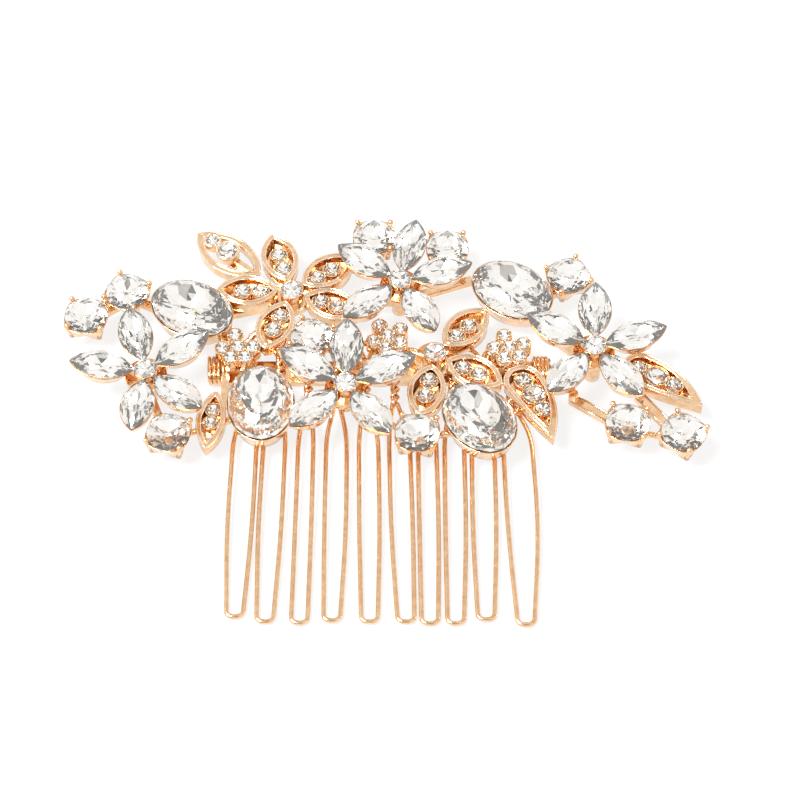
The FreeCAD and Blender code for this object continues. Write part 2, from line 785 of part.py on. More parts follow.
def make_centre_stones():
    """The round stones in the middle of the flowers and leaf sprays."""
    radius = size("centre_stone_radius")
    stone = cut_stone(round_outline(radius), 0.85, 0.6)
    stones = []
    for x, y, lift, _ in FLOWERS.values():
        height = size("flower_rise") + lift + size("petal_cup_depth") + 0.6 + 2 * STONE_LIFT
        stones.append(placed(stone, stand(x, y, BASE + height)))
    for x, y, _ in LEAF_SPRAYS.values():
        stones.append(placed(stone, stand(x, y, BASE + size("leaf_depth") + 0.2 + 2 * STONE_LIFT)))
    add_feature("centre_stones", Part.makeCompound(stones))


# ------------------------------------------- bars, posts and stalks behind it

def flat_bar(name, start, end, width, height):
    """A bar of rectangular section between two points, its underside at their level."""
    run = end - start
    bar = doc.addObject("Part::Box", name)
    bar.Length = run.Length
    bar.setExpression("Width", f"Sizes.{width}")
    bar.setExpression("Height", f"Sizes.{height}")
    turn = Rotation(X_AXIS, run)
    side = turn.multVec(Vector(0, -size(width) / 2, 0))
    bar.Placement = Placement(start + side, turn)
    return bar


def make_back_frame():
    """Bars that tie the upper settings together, and posts that reach the table."""
    underside = BASE - size("bar_height") - BAR_CLEARANCE
    pieces = []
    for number, ((ax, ay), (bx, by)) in enumerate(BARS, start=1):
        pieces.append(flat_bar(
            f"Bar{number}", Vector(ax, ay, underside), Vector(bx, by, underside),
            "bar_width", "bar_height"))
    for number, (x, y) in enumerate(POSTS, start=1):
        post = doc.addObject("Part::Cylinder", f"Foot{number}")
        post.setExpression("Radius", "Sizes.post_radius")
        post.setExpression("Height", "Sizes.base_level + 2 * Sizes.binding_radius")
        post.Placement = stand(x, y, FLOOR)
        pieces.append(post)
    frame = doc.addObject("Part::MultiFuse", "back_frame")
    frame.Shapes = pieces
    subparts.append(frame)


def make_stalk(label, start, end, cup_radius):
    """A flat stem on a short post, from under a flower petal to a round setting."""
    foot = Vector(*start, BASE)
    cup = Vector(*end, BASE)
    edge_of_cup = cup - (cup - foot).normalize() * cup_radius
    bar = flat_bar(
        label + "_bar", foot, edge_of_cup, "stalk_width", "stalk_height")
    knot = doc.addObject("Part::Cylinder", label + "_post")
    knot.setExpression("Radius", "Sizes.stalk_width / 2")
    knot.setExpression("Height", "Sizes.flower_rise")
    knot.Placement = stand(*start)
    stalk = doc.addObject("Part::MultiFuse", label)
    stalk.Shapes = [bar, knot]
    subparts.append(stalk)


# ------------------------------------------------------------------- assembly

LEAF_STONE_REACHES = (5.1, 8.0)
BAR_CLEARANCE = 0.1
BROAD_LEAF = (0.0, 14.7, 3.4, 3.0)
BROAD_LEAF_SPOTS = [
    (2.6, 0.2, size("leaf_stone_radius")),
    (5.7, 0.65, size("large_leaf_stone_radius")),
    (8.8, 0.85, size("leaf_stone_radius")),
]
BARS = [
    ((-14.6, 13.4), (3.1, 13.5)),
    ((3.1, 13.5), (-1.0, 23.9)),
    ((3.1, 13.5), (10.7, 21.8)),
    ((3.1, 13.5), (15.0, 17.8)),
    ((15.0, 17.8), (21.2, 12.7)),
    ((21.2, 12.7), (30.4, 15.8)),
    ((-14.6, 13.4), (-30.9, 9.2)),
    ((-14.6, 13.4), (-25.2, 21.3)),
    ((-30.9, 9.2), (-41.1, 14.0)),
    ((-41.1, 14.0), (-47.6, 9.3)),
    ((-30.9, 9.2), (-37.2, -4.3)),
    ((-37.2, -4.3), (-33.2, -14.6)),
    ((21.2, 12.7), (34.1, 0.3)),
    ((-24.9, 10.75), (-24.9, -7.5)),
]
POSTS = [(-14.6, 13.4), (3.1, 13.5), (21.2, 12.7), (-37.2, -4.3), (34.1, 0.3), (-30.9, 9.2)]

make_spine()
for number, tine in enumerate(TINES, start=1):
    make_tine(number, *tine)
make_arches()
make_binding("binding_wire_left", -27.85, 4)
make_binding("binding_wire_right", 24.6, 5)
for number, spot in enumerate(ROUNDS, start=1):
    make_round_setting(number, *spot)
make_round_stones()
for name, spot in OVALS.items():
    make_oval(name, *spot)
for name, spot in FLOWERS.items():
    make_flower(name, *spot)
for label, spot in LEAF_SPRAYS.items():
    make_leaf_spray(label, *spot)
wall = size("leaf_wall")
base, tip, full, lean = BROAD_LEAF
inner_leaf = (base + wall, tip - 3.2 * wall, full - wall, lean - wall)
make_single_leaf("leaf_lower_right", 21.6, -1.7, -67.6, broad_leaf(*BROAD_LEAF),
                 broad_leaf(*inner_leaf), BROAD_LEAF_SPOTS)
make_single_leaf("leaf_far_right", 39.2, -0.3, -37.3, broad_leaf(*BROAD_LEAF),
                 broad_leaf(*inner_leaf), BROAD_LEAF_SPOTS)
make_single_leaf("leaf_lower_left", -26.7, -11.8, -97, navette(10.8, 4.4),
                 navette(*inner_navette(10.8, 4.4, wall)), [(-2.1, 0, 1.05), (0.4, 0, 1.05)])
make_open_leaf("open_leaf", -25.2, 21.3, 141, 13.5, 7.0, [(4.0, -0.5, 1.1), (0.65, -0.5, 1.6)])
for name, spot in CLUSTERS.items():
    make_cluster(name, *spot)
make_centre_stones()
add_feature("leaf_stones", Part.makeCompound(leaf_stones))
make_back_frame()
make_stalk("stalk_inner", (30.6, -7.0), ROUNDS[8][:2], 3.4)
make_stalk("stalk_outer", (41.2, -6.6), ROUNDS[9][:2], 3.4)

doc.recompute()

for item in doc.Objects:
    if "Invalid" in item.State or "Error" in item.State:
        raise RuntimeError(f"{item.Label} failed: {item.State}")
if len(doc.getObject("back_frame").Shape.Solids) != 1:
    raise RuntimeError("the back frame is not one solid")
for part in subparts:
    if part.Shape.isNull() or not part.Shape.isValid():
        raise RuntimeError(f"{part.Label} has no valid shape")

os.makedirs("parts", exist_ok=True)
for part in subparts:
    part.Shape.exportStep(os.path.join("parts", part.Label + ".step"))
print(f"{len(subparts)} sub-parts written")
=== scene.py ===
import math
import random

import bmesh
import bpy
from mathutils import Matrix, Vector


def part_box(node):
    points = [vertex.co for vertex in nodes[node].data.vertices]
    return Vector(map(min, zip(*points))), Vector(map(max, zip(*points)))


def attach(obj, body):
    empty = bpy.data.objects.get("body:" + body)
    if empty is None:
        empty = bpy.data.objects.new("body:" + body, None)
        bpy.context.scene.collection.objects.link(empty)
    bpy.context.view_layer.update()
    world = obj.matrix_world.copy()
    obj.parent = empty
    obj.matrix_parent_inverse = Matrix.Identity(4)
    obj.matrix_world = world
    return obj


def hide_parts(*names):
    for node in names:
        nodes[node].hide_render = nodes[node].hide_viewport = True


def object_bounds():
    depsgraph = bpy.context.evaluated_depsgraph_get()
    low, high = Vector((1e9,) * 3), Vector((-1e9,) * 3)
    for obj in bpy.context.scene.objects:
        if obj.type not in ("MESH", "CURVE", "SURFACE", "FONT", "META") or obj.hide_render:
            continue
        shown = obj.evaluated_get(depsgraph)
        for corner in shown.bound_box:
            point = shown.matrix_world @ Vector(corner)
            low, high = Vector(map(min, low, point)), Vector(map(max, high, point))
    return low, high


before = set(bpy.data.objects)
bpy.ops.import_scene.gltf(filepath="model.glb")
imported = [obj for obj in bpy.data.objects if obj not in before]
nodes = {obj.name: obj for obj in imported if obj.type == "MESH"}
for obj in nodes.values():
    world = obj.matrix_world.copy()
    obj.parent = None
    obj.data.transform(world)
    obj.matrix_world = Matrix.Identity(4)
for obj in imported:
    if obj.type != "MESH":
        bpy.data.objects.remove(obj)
cad_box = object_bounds()
MM = 0.001
scene = bpy.context.scene
scene.view_settings.view_transform = "Standard"

# ------------------------------------------------------------------ materials

def new_material(name):
    material = bpy.data.materials.new(name)
    material.use_nodes = True
    tree = material.node_tree
    return material, tree, tree.nodes["Principled BSDF"]


def add_noise_ramp(tree, scale, low, high):
    """Fine noise in the object's own space, spread between two colours."""
    coords = tree.nodes.new("ShaderNodeTexCoord")
    noise = tree.nodes.new("ShaderNodeTexNoise")
    noise.inputs["Scale"].default_value = scale
    noise.inputs["Detail"].default_value = 4.0
    ramp = tree.nodes.new("ShaderNodeValToRGB")
    ramp.color_ramp.elements[0].position = 0.35
    ramp.color_ramp.elements[0].color = (*low, 1)
    ramp.color_ramp.elements[1].position = 0.65
    ramp.color_ramp.elements[1].color = (*high, 1)
    tree.links.new(coords.outputs["Object"], noise.inputs["Vector"])
    tree.links.new(noise.outputs["Fac"], ramp.inputs["Fac"])
    return ramp.outputs["Color"]


def rose_gold(name, low, high, roughness):
    """Polished rose-gold plate, with the slight waviness of cast and plated metal."""
    material, tree, shader = new_material(name)
    shader.inputs["Metallic"].default_value = 1.0
    shader.inputs["Roughness"].default_value = roughness
    tree.links.new(add_noise_ramp(tree, 900.0, low, high), shader.inputs["Base Color"])
    height = add_noise_ramp(tree, 1600.0, (0, 0, 0), (1, 1, 1))
    bump = tree.nodes.new("ShaderNodeBump")
    bump.inputs["Strength"].default_value = 0.06
    bump.inputs["Distance"].default_value = 0.05 * MM
    tree.links.new(height, bump.inputs["Height"])
    tree.links.new(bump.outputs["Normal"], shader.inputs["Normal"])
    return material


def crystal():
    """Clear faceted glass with the faintest clouding."""
    material, tree, shader = new_material("crystal")
    shader.inputs["Roughness"].default_value = 0.01
    shader.inputs["Transmission Weight"].default_value = 1.0
    shader.inputs["IOR"].default_value = 1.58
    tint = add_noise_ramp(tree, 400.0, (0.985, 0.98, 0.97), (1, 1, 1))
    tree.links.new(tint, shader.inputs["Base Color"])
    return material


def foil():
    """The silvered back of a stone, made a little brighter than a plain mirror by a faint painted
    glow.
    """
    material, tree, shader = new_material("silver_foil_painted_glow")
    shader.inputs["Metallic"].default_value = 1.0
    shader.inputs["Roughness"].default_value = 0.03
    # Emission: a faint painted glow on the foil, standing in for light it would reflect.
    shader.inputs["Emission Color"].default_value = (1.0, 0.97, 0.93, 1)
    shader.inputs["Emission Strength"].default_value = 0.08
    tint = add_noise_ramp(tree, 300.0, (0.89, 0.86, 0.82), (0.95, 0.93, 0.90))
    tree.links.new(tint, shader.inputs["Base Color"])
    return material


METAL = rose_gold("rose_gold", (0.84, 0.52, 0.285), (0.94, 0.66, 0.42), 0.14)
# A paler copy of the same rose gold: a painted highlight for the rails, not a different metal.
PAINTED_HIGHLIGHT_METAL = rose_gold("rose_gold_painted_highlight", (0.95, 0.73, 0.53), (0.99, 0.83, 0.67), 0.10)
CRYSTAL = crystal()
FOIL = foil()

# A stone's faces that look down more than this carry the foil.
FOIL_NORMAL = -0.3
# Distances in millimetres: vertices that count as one, and the width of a polished edge.
WELD = 0.002
EDGE_BEVEL = 0.09
EDGE_ANGLE = math.radians(35)


def soften_edges(node):
    """Rounded, polished edges that catch the light."""
    weld = node.modifiers.new("weld", "WELD")
    weld.merge_threshold = WELD * MM
    bevel = node.modifiers.new("bevel", "BEVEL")
    bevel.width = EDGE_BEVEL * MM
    bevel.segments = 2
    bevel.limit_method = "ANGLE"
    bevel.angle_limit = EDGE_ANGLE
    bevel.harden_normals = True


def set_facets(mesh):
    """Clear flat facets above, and a silvered back below."""
    mesh.materials.clear()
    mesh.materials.append(CRYSTAL)
    mesh.materials.append(FOIL)
    for face in mesh.polygons:
        face.use_smooth = False
        face.material_index = 1 if face.normal.z < FOIL_NORMAL else 0


for name, node in nodes.items():
    if "stone" in name:
        set_facets(node.data)
    else:
        node.data.materials.clear()
        node.data.materials.append(METAL)
        soften_edges(node)

# -------------------------------------------------------------- building blocks

class Shape:
    """Vertices in millimetres and faces, gathered before they become one piece."""

    def __init__(self):
        self.vertices = []
        self.faces = []

    def add(self, vertices, faces):
        start = len(self.vertices)
        self.vertices += vertices
        self.faces += [[start + index for index in face] for face in faces]

    def tube(self, points, radius, sides=10, closed=False, end_radius=None):
        """A round wire along points, with flat ends unless it is closed."""
        count = len(points)
        rings = []
        normal = None
        for i, point in enumerate(points):
            before = points[i - 1] if closed or i else point
            after = points[(i + 1) % count] if closed or i < count - 1 else point
            tangent = (after - before).normalized()
            normal = tangent.orthogonal() if normal is None else normal
            normal = (normal - tangent * normal.dot(tangent)).normalized()
            side = tangent.cross(normal)
            grow = 0 if end_radius is None else (end_radius - radius) * i / (count - 1)
            for step in range(sides):
                turn = 2 * math.pi * step / sides
                spoke = normal * math.cos(turn) + side * math.sin(turn)
                rings.append(point + spoke * (radius + grow))
        faces = []
        for i in range(count if closed else count - 1):
            low = i * sides
            high = (i + 1) % count * sides
            for step in range(sides):
                after = (step + 1) % sides
                faces.append([low + step, low + after, high + after, high + step])
        if not closed:
            faces.append(list(range(sides))[::-1])
            faces.append([(count - 1) * sides + step for step in range(sides)])
        self.add(rings, faces)

    def ball(self, centre, radius, sides=12, rings=8):
        vertices = [centre + Vector((0, 0, radius))]
        for ring in range(1, rings):
            down = math.pi * ring / rings
            for step in range(sides):
                turn = 2 * math.pi * step / sides
                vertices.append(centre + radius * Vector((
                    math.sin(down) * math.cos(turn),
                    math.sin(down) * math.sin(turn),
                    math.cos(down))))
        vertices.append(centre - Vector((0, 0, radius)))
        last = len(vertices) - 1
        faces = []
        for step in range(sides):
            after = (step + 1) % sides
            faces.append([0, 1 + step, 1 + after])
            faces.append([last, last - sides + after, last - sides + step])
            for ring in range(rings - 2):
                low = 1 + ring * sides
                faces.append([low + step, low + sides + step, low + sides + after, low + after])
        self.add(vertices, faces)

    def skin(self, rings):
        """A surface through rings of equal length, each ring closed, ends filled."""
        sides = len(rings[0])
        faces = []
        for i in range(len(rings) - 1):
            for step in range(sides):
                after = (step + 1) % sides
                low = i * sides
                faces.append([low + step, low + after, low + sides + after, low + sides + step])
        faces.append(list(range(sides))[::-1])
        faces.append([(len(rings) - 1) * sides + step for step in range(sides)])
        self.add([point for ring in rings for point in ring], faces)

    def piece(self, name, material, slot, *replaced):
        mesh = bpy.data.meshes.new(name)
        mesh.from_pydata([vertex * MM for vertex in self.vertices], [], self.faces)
        mesh.validate()
        mesh.polygons.foreach_set("use_smooth", [True] * len(mesh.polygons))
        mesh.materials.append(material)
        made = bpy.data.objects.new(name, mesh)
        scene.collection.objects.link(made)
        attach(made, "root")
        if replaced:
            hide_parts(*replaced)
        return made


def centre_of(name):
    low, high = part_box(name)
    return (low + high) / (2 * MM)


def loose_parts(name):
    """The separate solids of a node, each as a list of points in millimetres."""
    work = bmesh.new()
    work.from_mesh(nodes[name].data)
    bmesh.ops.remove_doubles(work, verts=work.verts, dist=WELD * MM)
    left = set(work.verts)
    parts = []
    while left:
        stack = [left.pop()]
        part = []
        while stack:
            vertex = stack.pop()
            part.append(vertex.co / MM)
            for edge in vertex.link_edges:
                other = edge.other_vert(vertex)
                if other in left:
                    left.remove(other)
                    stack.append(other)
        parts.append(part)
    work.free()
    return sorted(parts, key=lambda part: (
        round(min(point.x for point in part), 2), round(min(point.y for point in part), 2)))


GIRDLE_SHARE = 0.97
LEVEL_TOLERANCE = 0.02
LEAST_CORNERS = 6


def girdle_of(part):
    """Centre, radius and height of the widest ring of a small round stone."""
    xs = [point.x for point in part]
    ys = [point.y for point in part]
    centre = Vector(((min(xs) + max(xs)) / 2, (min(ys) + max(ys)) / 2, 0))
    radius = (max(xs) - min(xs)) / 2
    widest = [point.z for point in part if (point.xy - centre.xy).length > GIRDLE_SHARE * radius]
    return centre, radius, sum(widest) / len(widest)


def top_outlines(name, height):
    """The closed edges of a node's flat faces that lie at one height, in millimetres."""
    mesh = nodes[name].data
    uses = {}
    place = {}
    for face in mesh.polygons:
        points = [mesh.vertices[index].co / MM for index in face.vertices]
        if max(abs(point.z - height) for point in points) > LEVEL_TOLERANCE or face.normal.z < 0.9:
            continue
        keys = [(round(point.x, 2), round(point.y, 2)) for point in points]
        for key, point in zip(keys, points):
            place[key] = point
        for a, b in zip(keys, keys[1:] + keys[:1]):
            uses[frozenset((a, b))] = uses.get(frozenset((a, b)), 0) + 1
    near = {}
    for edge, count in uses.items():
        if count == 1 and len(edge) == 2:
            a, b = edge
            near.setdefault(a, []).append(b)
            near.setdefault(b, []).append(a)
    loops = []
    while near:
        start = min(near)
        loop = [start]
        here = start
        while near.get(here):
            after = near[here].pop()
            near[after].remove(here)
            here = after
            if here == start:
                break
            loop.append(here)
        near = {key: value for key, value in near.items() if value}
        if len(loop) >= LEAST_CORNERS:
            loops.append([place[key] for key in loop])
    return loops


# ------------------------------------------------------------- the comb's wires

BASE = 2.6
WIRE = 0.4
STEM_LEVEL = 1.8
STEM_TOP = 2.0
STEM_BOTTOM = -7.0
TINE_PITCH = 4.62
TINE_LENGTH = 38.9
TIP_HALF_WIDTH = 1.25
SHOULDER = -5.8
BELLY = -22.8
TABLE_LEVEL = -0.4
TWISTS = 3
STEPS_PER_TWIST = 20
CORNER_STEPS = 9
# Share of a path's shorter side that a corner's arc takes up.
CORNER_SHARE = 0.45
SHOULDER_LEAN = 0.6
SHOULDER_WIDTH = 0.95
WIRE_SIDES = 14
# Tines from left to right, as in the CAD model: how far the belly and the tip lean,
# the belly's half width and the extra length.
TINES = [
    (-1.0, -1.2, 1.95, -0.9),
    (-0.9, -1.2, 1.8, 0.0),
    (-0.35, -0.6, 1.25, 0.2),
    (0.0, -0.3, 1.7, -0.2),
    (0.7, 0.8, 1.6, 0.0),
    (1.1, 1.7, 1.7, 0.0),
    (0.7, 0.7, 1.5, 0.3),
    (0.2, 0.0, 1.6, 0.3),
    (0.05, 0.0, 1.85, -0.4),
    (1.4, 1.4, 2.4, 0.5),
]


def rounded(points):
    """The points of a path with each corner replaced by a tangent arc."""
    path = [points[0]]
    for before, corner, after in zip(points, points[1:], points[2:]):
        into = (corner - before).normalized()
        out = (after - corner).normalized()
        cut = CORNER_SHARE * min((corner - before).length, (after - corner).length)
        start = corner - into * cut
        end = corner + out * cut
        for step in range(CORNER_STEPS + 1):
            t = step / CORNER_STEPS
            path.append(start.lerp(corner, t).lerp(corner.lerp(end, t), t))
    path.append(points[-1])
    return path


def strand(side):
    """One wire of a twisted stem, from its top down to where its leg starts."""
    steps = STEPS_PER_TWIST * TWISTS
    points = []
    for step in range(steps):
        t = step / steps
        turn = 2 * math.pi * TWISTS * t
        points.append(Vector((
            side * WIRE * math.cos(turn),
            STEM_TOP + (STEM_BOTTOM - STEM_TOP) * t,
            side * WIRE * math.sin(turn))))
    return points


def make_tine(number, belly_lean, tip_lean, belly_half, extra_length):
    """One hairpin of wire: two legs, and both ends twisted together as the stem."""
    length = TINE_LENGTH + extra_length
    droop = math.asin((STEM_LEVEL - WIRE - TABLE_LEVEL) / length)
    shoulder_lean = SHOULDER_LEAN * belly_lean
    shoulder_half = SHOULDER_WIDTH * belly_half
    corners = [
        (-WIRE, 0),
        (shoulder_lean - shoulder_half, SHOULDER),
        (belly_lean - belly_half, BELLY),
        (tip_lean - TIP_HALF_WIDTH, WIRE - length),
        (tip_lean + TIP_HALF_WIDTH, WIRE - length),
        (belly_lean + belly_half, BELLY),
        (shoulder_lean + shoulder_half, SHOULDER),
        (WIRE, 0),
    ]
    turn = Matrix.Rotation(droop, 3, "X")
    legs = [turn @ Vector((x, y, 0)) + Vector((0, STEM_BOTTOM, 0)) for x, y in corners]
    path = strand(-1) + rounded(legs) + strand(1)[::-1]
    shift = Vector(((number - (len(TINES) + 1) / 2) * TINE_PITCH, 0, STEM_LEVEL))
    wire = Shape()
    wire.tube([point + shift for point in path], WIRE, WIRE_SIDES)
    wire.piece(f"tine_wire_{number:02d}", METAL, "rose_gold", f"tine_{number:02d}")


for number, tine in enumerate(TINES, start=1):
    make_tine(number, *tine)

# ------------------------------------------------- wire bound round the spine's ends

COIL_WIRE = 0.33
COIL_STEPS = 28
# Below 1, the power squares the round path of a turn up to the flat spine.
COIL_SQUARENESS = 0.7


def squared(value):
    return math.copysign(abs(value) ** COIL_SQUARENESS, value)


def make_coil(side, first_x, turns, pitch):
    """One wire wound round an end of the spine."""
    name = f"binding_wire_{side}"
    low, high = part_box(name)
    middle = (low + high) / (2 * MM)
    half = (high - low) / (2 * MM)
    points = []
    for step in range(turns * COIL_STEPS + 1):
        turn = 2 * math.pi * step / COIL_STEPS
        y = squared(math.cos(turn))
        z = squared(math.sin(turn))
        points.append(Vector((
            first_x + pitch * step / COIL_STEPS,
            middle.y + (half.y - COIL_WIRE) * y,
            middle.z + (half.z - COIL_WIRE) * z)))
    coil = Shape()
    coil.tube(points, COIL_WIRE, 10)
    coil.piece(f"binding_coil_{side}", METAL, "rose_gold", name)


make_coil("left", -27.75, 3, 0.72)
make_coil("right", 24.7, 4, 0.62)

# ----------------------------------------------------------------- oval stones

# Rows of facet corners from the table down to the culet: share of the outline,
# height above the girdle in millimetres and turn in half steps.
OVAL_CUT = [
    (0.56, 2.25, 0),
    (0.78, 1.60, 1),
    (1.0, 0.10, 0),
    (1.0, -0.10, 0),
    (0.80, -0.95, 1),
    (0.52, -1.65, 0),
    (0.28, -2.15, 1),
]
CULET = -2.45
# The cup's skin from its foot up, over the rim and down inside: how far it lies
# outside the stone's outline and its height above the foot, in millimetres.
OVAL_CUP = [
    (-0.70, 0.0),
    (-0.62, 0.12),
    (0.18, 3.04),
    (0.20, 3.12),
    (0.14, 3.18),
    (0.04, 3.17),
    (-0.04, 3.08),
    (-1.5, 1.9),
    (-4.2, 0.45),
]
OVAL_CUP_SIDES = 72
OVAL_SIDES = 14
SAME_POINT = 0.05


class OvalOutline:
    """Where an oval stone of the CAD model lies: centre, axes and girdle level."""

    def __init__(self, name):
        points = [vertex.co / MM for vertex in nodes[name].data.vertices]
        self.middle = centre_of(name)
        far = max(points, key=lambda point: (point.xy - self.middle.xy).length)
        self.along = far.xy - self.middle.xy
        self.half_length = self.along.length
        self.along.normalize()
        self.across = Vector((-self.along.y, self.along.x))
        self.half_width = max((point.xy - self.middle.xy).dot(self.across) for point in points)
        levels = [point.z for point in points if (point.xy - far.xy).length < SAME_POINT]
        self.girdle = sum(levels) / len(levels)

    def point(self, turn, length, width, level):
        spot = self.middle.xy + self.along * (length * math.cos(turn))
        spot += self.across * (width * math.sin(turn))
        return Vector((spot.x, spot.y, level))


def facets_between(top, low, turned):
    """Faces between two rows of corners: four-sided, or triangles where they alternate."""
    faces = []
    for step in range(OVAL_SIDES):
        after = (step + 1) % OVAL_SIDES
        before = (step - 1) % OVAL_SIDES
        if turned == 0:
            faces.append([top + step, low + step, low + after, top + after])
        elif turned > 0:
            faces.append([top + step, low + step, top + after])
            faces.append([top + step, low + before, low + step])
        else:
            faces.append([top + step, low + step, low + after])
            faces.append([top + step, low + after, top + after])
    return faces


def make_oval_stone(name, outline):
    """A finely cut oval stone: table, crown, girdle and a deep back."""
    points = []
    for share, height, shift in OVAL_CUT:
        for step in range(OVAL_SIDES):
            turn = 2 * math.pi * (step + shift / 2) / OVAL_SIDES
            points.append(outline.point(
                turn, outline.half_length * share, outline.half_width * share,
                outline.girdle + height))
    points.append(outline.point(0, 0, 0, outline.girdle + CULET))
    faces = [list(range(OVAL_SIDES))]
    for row in range(len(OVAL_CUT) - 1):
        turned = OVAL_CUT[row + 1][2] - OVAL_CUT[row][2]
        faces += facets_between(row * OVAL_SIDES, (row + 1) * OVAL_SIDES, turned)
    last = (len(OVAL_CUT) - 1) * OVAL_SIDES
    tip = last + OVAL_SIDES
    for step in range(OVAL_SIDES):
        faces.append([last + step, tip, last + (step + 1) % OVAL_SIDES])
    stone = Shape()
    stone.add(points, faces)
    made = stone.piece(f"{name}_cut", CRYSTAL, "crystal", name)
    set_facets(made.data)


def make_oval_cup(side, outline):
    """The thin cup of an oval stone, open down to its deep floor."""
    rings = []
    for offset, height in OVAL_CUP:
        rings.append([
            outline.point(
                2 * math.pi * step / OVAL_CUP_SIDES,
                outline.half_length + offset, outline.half_width + offset, BASE + height)
            for step in range(OVAL_CUP_SIDES)])
    cup = Shape()
    cup.skin(rings)
    cup.piece(f"oval_cup_{side}", METAL, "rose_gold", f"oval_setting_{side}")


def make_oval(side):
    name = f"oval_stone_{side}"
    outline = OvalOutline(name)
    make_oval_stone(name, outline)
    make_oval_cup(side, outline)


for name in ("left", "lower_left", "upper_right", "lower_right"):
    make_oval(name)

# --------------------------------------------------------- round stones' baskets

# Height above the foot, mean radius and how far the four corners stand out.
BASKET = [
    (0.0, 2.30, 0.10),
    (0.0, 2.75, 0.17),
    (0.22, 2.92, 0.17),
    (1.1, 3.10, 0.11),
    (2.0, 3.46, 0.07),
    (2.55, 3.66, 0.05),
    (2.68, 3.70, 0.05),
    (2.72, 3.60, 0.03),
    (2.66, 3.48, 0.0),
    (2.2, 3.30, 0.0),
    (1.5, 2.20, 0.0),
]


BASKET_SIDES = 64
PRONGS = 4
# How far the foot's edge lifts between the corners.
SCALLOP = 0.3
SCALLOP_BELOW = 0.5
# A prong's points: distance from the stone's axis and height above the foot.
PRONG_FOOT = (3.1, 0.12)
PRONG_WAIST = (3.45, 1.6)
PRONG_NECK = (3.86, 3.2)
PRONG_BALL = (3.85, 3.3)
PRONG_FOOT_RADIUS = 0.50
PRONG_NECK_RADIUS = 0.36
PRONG_BALL_RADIUS = 0.50
TOP_BAND = 0.001


def prong_angle(name):
    """How a round setting is turned, from where the tops of its prongs lie."""
    middle = centre_of(name)
    mesh = nodes[name].data
    top = max(vertex.co.z for vertex in mesh.vertices)
    for vertex in mesh.vertices:
        if vertex.co.z > top - TOP_BAND * MM:
            offset = vertex.co / MM - middle
            return math.atan2(offset.y, offset.x)


def add_prong(basket, middle, turn):
    out = Vector((math.cos(turn), math.sin(turn), 0))
    foot, waist, neck, ball = [
        middle + out * reach + Vector((0, 0, height))
        for reach, height in (PRONG_FOOT, PRONG_WAIST, PRONG_NECK, PRONG_BALL)]
    basket.tube([foot, waist, neck], PRONG_FOOT_RADIUS, 12, end_radius=PRONG_NECK_RADIUS)
    basket.ball(foot, PRONG_FOOT_RADIUS)
    basket.ball(ball, PRONG_BALL_RADIUS)


def make_basket(number):
    """A cornered, scalloped basket with four ball-ended prongs."""
    name = f"round_setting_{number:02d}"
    middle = centre_of(name)
    middle.z = BASE
    angle = prong_angle(name)
    rings = []
    for height, radius, corner in BASKET:
        ring = []
        for step in range(BASKET_SIDES):
            turn = 2 * math.pi * step / BASKET_SIDES
            lobe = math.cos(PRONGS * (turn - angle))
            lift = SCALLOP * (1 - lobe) / 2 if height < SCALLOP_BELOW else 0.0
            reach = radius * (1 + corner * lobe)
            ring.append(middle + Vector((
                reach * math.cos(turn), reach * math.sin(turn), height + lift)))
        rings.append(ring)
    basket = Shape()
    basket.skin(rings)
    for prong in range(PRONGS):
        add_prong(basket, middle, angle + prong * 2 * math.pi / PRONGS)
    basket.piece(f"round_basket_{number:02d}", METAL, "rose_gold", name)


for number in range(1, 11):
    make_basket(number)

# --------------------------------------------------- rails, claws and grain beads

RAIL = 0.17
RIM_LEVEL = 4.9
OPEN_RIM_LEVEL = 4.5
STALK_LEVEL = 3.7
RAIL_SIDES = 8
CLAWS = 4
CLAW_LENGTH = 0.9
CLAW_NECK = 0.8
BRIDGE_RADIUS = 0.5
BRIDGE_LEVEL = BASE + 0.45
GRAIN_PITCH = 0.55
GRAIN_SPREAD = 0.3
GRAIN_RISE = 0.35
GRAIN_RADII = (0.24, 0.36)


def make_rails(name, height):
    """Fine polished rails along both edges of a leaf's rim or a stalk's top, in the paler rose
    gold that paints a highlight on them.
    """
    rails = Shape()
    for loop in top_outlines(name, height):
        rails.tube(loop, RAIL, RAIL_SIDES, closed=True)
    rails.piece(f"{name}_rails", PAINTED_HIGHLIGHT_METAL, "rose_gold")


for name in ("leaf_flower", "leaf_spray", "leaf_lower_right", "leaf_far_right", "leaf_lower_left"):
    make_rails(name, RIM_LEVEL)
make_rails("open_leaf", OPEN_RIM_LEVEL)
make_rails("stalk_inner", STALK_LEVEL)
make_rails("stalk_outer", STALK_LEVEL)


def make_claws(name, bead, reach, rise):
    """Four bead-like claws round every small stone of a node."""
    claws = Shape()
    for part in loose_parts(name):
        centre, radius, height = girdle_of(part)
        start = random.uniform(0, 2 * math.pi / CLAWS)
        for claw in range(CLAWS):
            turn = start + claw * 2 * math.pi / CLAWS
            spot = centre + Vector((
                (radius + reach) * math.cos(turn),
                (radius + reach) * math.sin(turn),
                height + rise))
            claws.ball(spot, bead, 10, 6)
            claws.tube([spot - Vector((0, 0, CLAW_LENGTH)), spot], CLAW_NECK * bead, RAIL_SIDES)
    claws.piece(f"{name}_claws", METAL, "rose_gold")


random.seed(7)
make_claws("leaf_stones", 0.21, 0.10, 0.12)
for name in ("left", "middle", "right"):
    make_claws(f"cluster_stones_{name}", 0.19, 0.05, 0.10)

